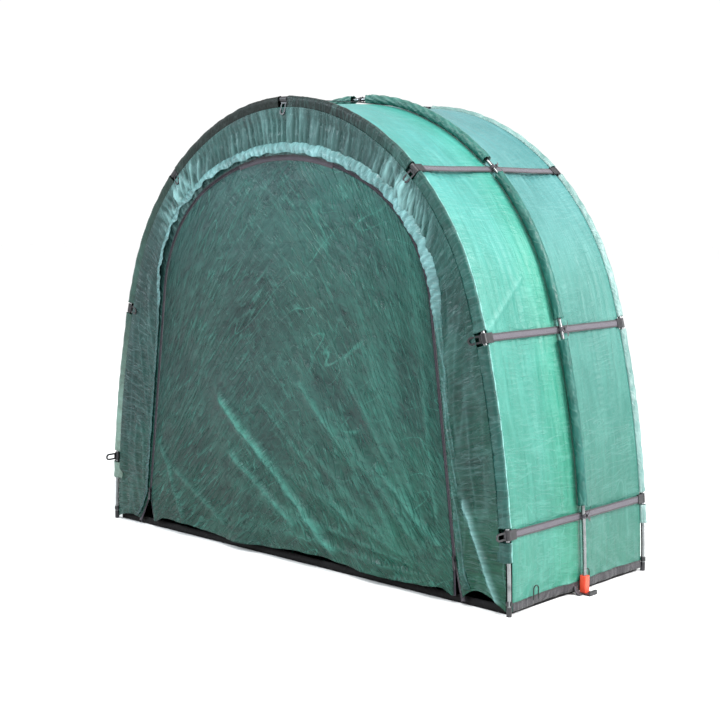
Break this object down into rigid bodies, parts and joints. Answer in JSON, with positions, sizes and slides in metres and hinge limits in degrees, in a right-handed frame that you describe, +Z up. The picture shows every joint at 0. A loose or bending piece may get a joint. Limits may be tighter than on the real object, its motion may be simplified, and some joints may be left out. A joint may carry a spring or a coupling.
{
  "type": "storage shelter",
  "caption": "Arched tarp shelter for bicycles or garden kit, on tube hoops with webbing straps, a zipped roll-up front door and a sewn-in floor.",
  "frame": {"origin": "on the ground under the middle hoop's ridge, midway between the feet", "axes": "+X to the right across the width, +Y to the back, away from the door, +Z up"},
  "size_m": [2.088, 0.8266, 1.6527],
  "materials": {
    "side_tarp": "woven coated tarp, light through it, satin",
    "end_tarp": "woven coated tarp, creased, satin",
    "sleeve_tarp": "woven coated tarp, gathered",
    "floor_sheet": "coated sheet, dull",
    "black_webbing": "woven tape",
    "loop_cord": "braided cord",
    "shock_cord": "braided elastic",
    "pole_tube": "plated tube",
    "zip_tape": "knitted tape with a nylon coil",
    "zip_metal": "black enamel",
    "black_plastic": "moulded",
    "orange_plastic": "moulded"
  },
  "bodies": {
    "shelter": {"corner_hooks": "black_plastic", "corner_tabs": "black_webbing", "frame_zip_tape": "zip_tape", "front_cover_panel": "side_tarp", "front_pole_section_1": "pole_tube", "front_pole_section_2": "pole_tube", "front_pole_section_3": "pole_tube", "front_pole_section_4": "pole_tube", "front_pole_section_5": "pole_tube", "front_shock_cord": "shock_cord", "front_sleeve_left": "sleeve_tarp", "front_sleeve_right": "sleeve_tarp", "front_surround": "end_tarp", "groundsheet": "floor_sheet", "hem_loops": "loop_cord", "hem_tape_left": "black_webbing", "hem_tape_rear": "black_webbing", "hem_tape_right": "black_webbing", "mid_base_left": "black_plastic", "mid_base_right": "black_plastic", "mid_foot_left": "orange_plastic", "mid_foot_right": "orange_plastic", "mid_foot_tabs": "black_webbing", "mid_pole_section_1": "pole_tube", "mid_pole_section_2": "pole_tube", "mid_pole_section_3": "pole_tube", "mid_pole_section_4": "pole_tube", "mid_pole_section_5": "pole_tube", "mid_pole_ties": "black_webbing", "mid_shock_cord": "shock_cord", "mid_sleeve_left": "sleeve_tarp", "mid_sleeve_right": "sleeve_tarp", "pole_end_caps": "black_plastic", "rear_cover_panel": "side_tarp", "rear_pole_section_1": "pole_tube", "rear_pole_section_2": "pole_tube", "rear_pole_section_3": "pole_tube", "rear_pole_section_4": "pole_tube", "rear_pole_section_5": "pole_tube", "rear_shock_cord": "shock_cord", "rear_sleeve_left": "sleeve_tarp", "rear_sleeve_right": "sleeve_tarp", "rear_wall": "end_tarp", "storm_flap": "end_tarp", "strap_front_hooks": "black_plastic", "strap_high_left": "black_webbing", "strap_high_right": "black_webbing", "strap_low_left": "black_webbing", "strap_low_right": "black_webbing", "strap_middle_left": "black_webbing", "strap_middle_right": "black_webbing", "strap_rear_hooks": "black_plastic", "strap_ridge": "black_webbing"},
    "door": {"door_panel": "end_tarp", "door_zip_tape": "zip_tape"},
    "zip_slider_left": {"zip_slider_left": "zip_metal"},
    "zip_slider_right": {"zip_slider_right": "zip_metal"},
    "zip_pull_left": {"zip_pull_left": "zip_metal"},
    "zip_pull_right": {"zip_pull_right": "zip_metal"}
  },
  "joints": [
    {"name": "door_swing", "type": "hinge", "parent": "shelter", "child": "door", "pos_m": [0, -0.38125, 1.424], "axis": [-1, 0, 0], "range_deg": [0, 95]},
    {"name": "zip_slider_left_run", "type": "slide", "parent": "door", "child": "zip_slider_left", "axis": [0.1305, 0, 0.9914], "range_m": [-0.1, 0.78]},
    {"name": "zip_pull_left_swing", "type": "hinge", "parent": "zip_slider_left", "child": "zip_pull_left", "pos_m": [-0.7695, -0.38645, 0.14996], "axis": [-0.9914, 0, 0.1305], "range_deg": [0, 170]},
    {"name": "zip_slider_right_run", "type": "slide", "parent": "door", "child": "zip_slider_right", "axis": [-0.1305, 0, 0.9914], "range_m": [-0.1, 0.78]},
    {"name": "zip_pull_right_swing", "type": "hinge", "parent": "zip_slider_right", "child": "zip_pull_right", "pos_m": [0.7695, -0.38645, 0.14996], "axis": [-0.9914, 0, -0.1305], "range_deg": [0, 170]}
  ]
}
